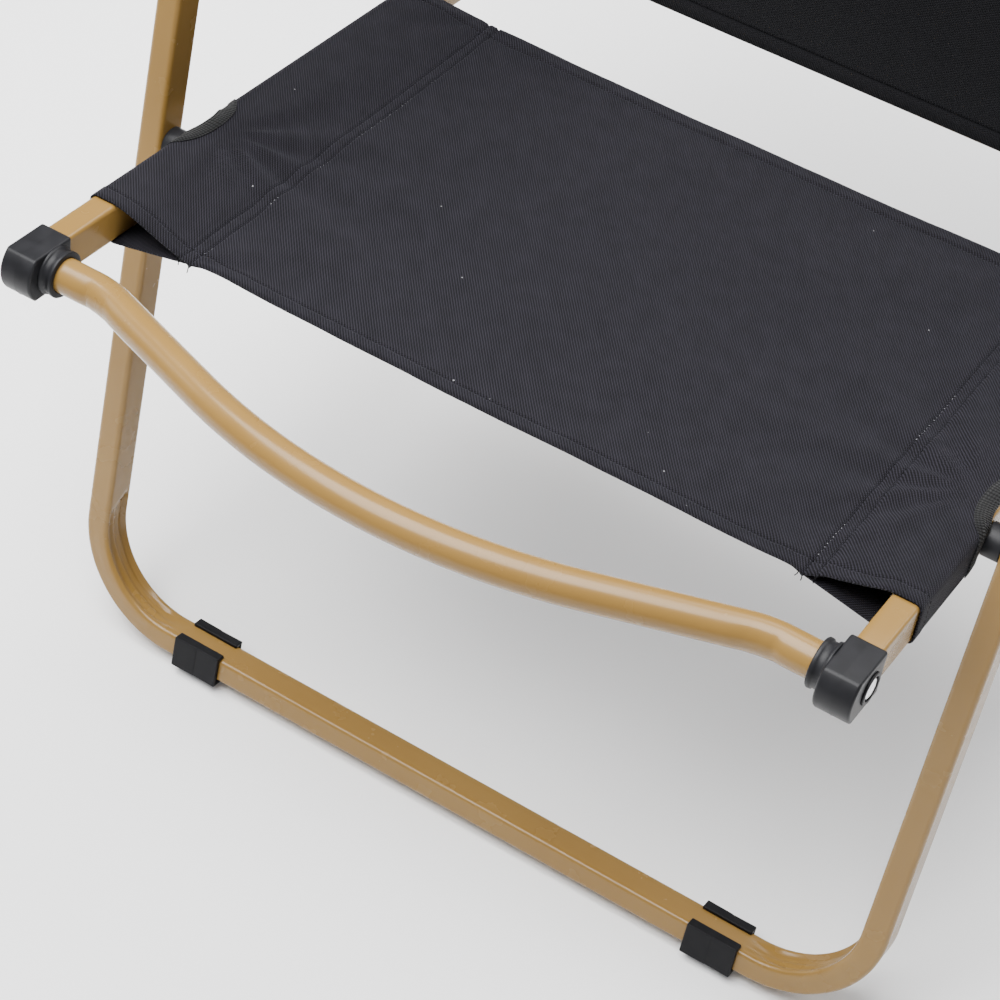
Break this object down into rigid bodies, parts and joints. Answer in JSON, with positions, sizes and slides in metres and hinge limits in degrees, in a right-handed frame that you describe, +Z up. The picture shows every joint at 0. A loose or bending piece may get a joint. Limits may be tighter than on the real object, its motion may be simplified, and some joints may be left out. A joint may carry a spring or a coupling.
{
  "type": "folding camp chair",
  "caption": "Low folding camp chair with U-shaped rectangular-tube legs, a slung cloth seat and back on a parallelogram frame, timber armrests and clip-on foot clips.",
  "frame": {"origin": "middle of the floor area that the open chair covers, at floor level", "axes": "+X to the sitter's left, +Y to the back of the chair, +Z up"},
  "size_m": [0.59, 0.636, 0.6689],
  "materials": {
    "tan_paint": "satin khaki powder coat",
    "black_plastic": "fine-grained moulded black",
    "black_rubber": "matte black",
    "black_cloth": "black ribbed polyester twill",
    "timber": "oiled satin",
    "bright_steel": "bright zinc plate"
  },
  "bodies": {
    "front_frame": {"front_leg_frame": "tan_paint", "front_leg_caps": "black_plastic", "front_foot_clip_left": "black_rubber", "front_foot_clip_right": "black_rubber", "seat_pivot_pins": "bright_steel", "seat_pivot_spacers": "black_plastic", "armrest_front_pins": "bright_steel", "armrest_front_washers": "black_plastic"},
    "seat_frame": {"seat_rail_left": "tan_paint", "seat_rail_right": "tan_paint", "seat_rail_caps": "black_plastic", "front_cross_tube": "tan_paint", "front_connector_left": "black_plastic", "front_connector_right": "black_plastic", "cross_tube_rivets": "bright_steel", "seat_brace_tube": "tan_paint", "seat_brace_saddles": "black_plastic", "seat_brace_screws": "bright_steel", "seat_panel": "black_cloth", "seat_sleeve_left": "black_cloth", "seat_sleeve_right": "black_cloth", "rear_leg_pins": "bright_steel", "rear_leg_spacers": "black_plastic"},
    "rear_frame": {"rear_leg_frame": "tan_paint", "rear_leg_caps": "black_plastic", "rear_foot_clip_left": "black_rubber", "rear_foot_clip_right": "black_rubber"},
    "backrest": {"backrest_frame": "tan_paint", "backrest_caps": "black_plastic", "backrest_lower_tube": "tan_paint", "backrest_tube_rivets": "bright_steel", "backrest_cloth": "black_cloth", "back_pivot_pins": "bright_steel", "back_pivot_spacers": "black_plastic", "armrest_rear_pins": "bright_steel", "armrest_rear_washers": "black_plastic"},
    "armrest_left": {"armrest_board_left": "timber", "armrest_angle_left": "tan_paint", "armrest_screws_left": "bright_steel"},
    "armrest_right": {"armrest_board_right": "timber", "armrest_angle_right": "tan_paint", "armrest_screws_right": "bright_steel"}
  },
  "joints": [
    {"name": "seat_fold", "type": "hinge", "parent": "front_frame", "child": "seat_frame", "pos_m": [0, -0.13447, 0.30264], "axis": [1, 0, 0], "range_deg": [0, 83.1]},
    {"name": "rear_leg_fold", "type": "hinge", "parent": "seat_frame", "child": "rear_frame", "pos_m": [0, -0.05785, 0.2791], "axis": [1, 0, 0], "range_deg": [-139.25, 0]},
    {"name": "back_fold", "type": "hinge", "parent": "seat_frame", "child": "backrest", "pos_m": [0, 0.14751, 0.23494], "axis": [1, 0, 0], "range_deg": [-83.11, 0]},
    {"name": "armrest_left_fold", "type": "hinge", "parent": "front_frame", "child": "armrest_left", "pos_m": [0, -0.06302, 0.49478], "axis": [1, 0, 0], "range_deg": [0, 83.11]},
    {"name": "armrest_right_fold", "type": "hinge", "parent": "front_frame", "child": "armrest_right", "pos_m": [0, -0.06302, 0.49478], "axis": [1, 0, 0], "range_deg": [0, 83.11]}
  ],
  "couplings": [
    {"joint": "rear_leg_fold", "follows": "seat_fold", "ratio": -1.6756},
    {"joint": "back_fold", "follows": "seat_fold", "ratio": -1},
    {"joint": "armrest_left_fold", "follows": "seat_fold", "ratio": 1},
    {"joint": "armrest_right_fold", "follows": "seat_fold", "ratio": 1}
  ]
}
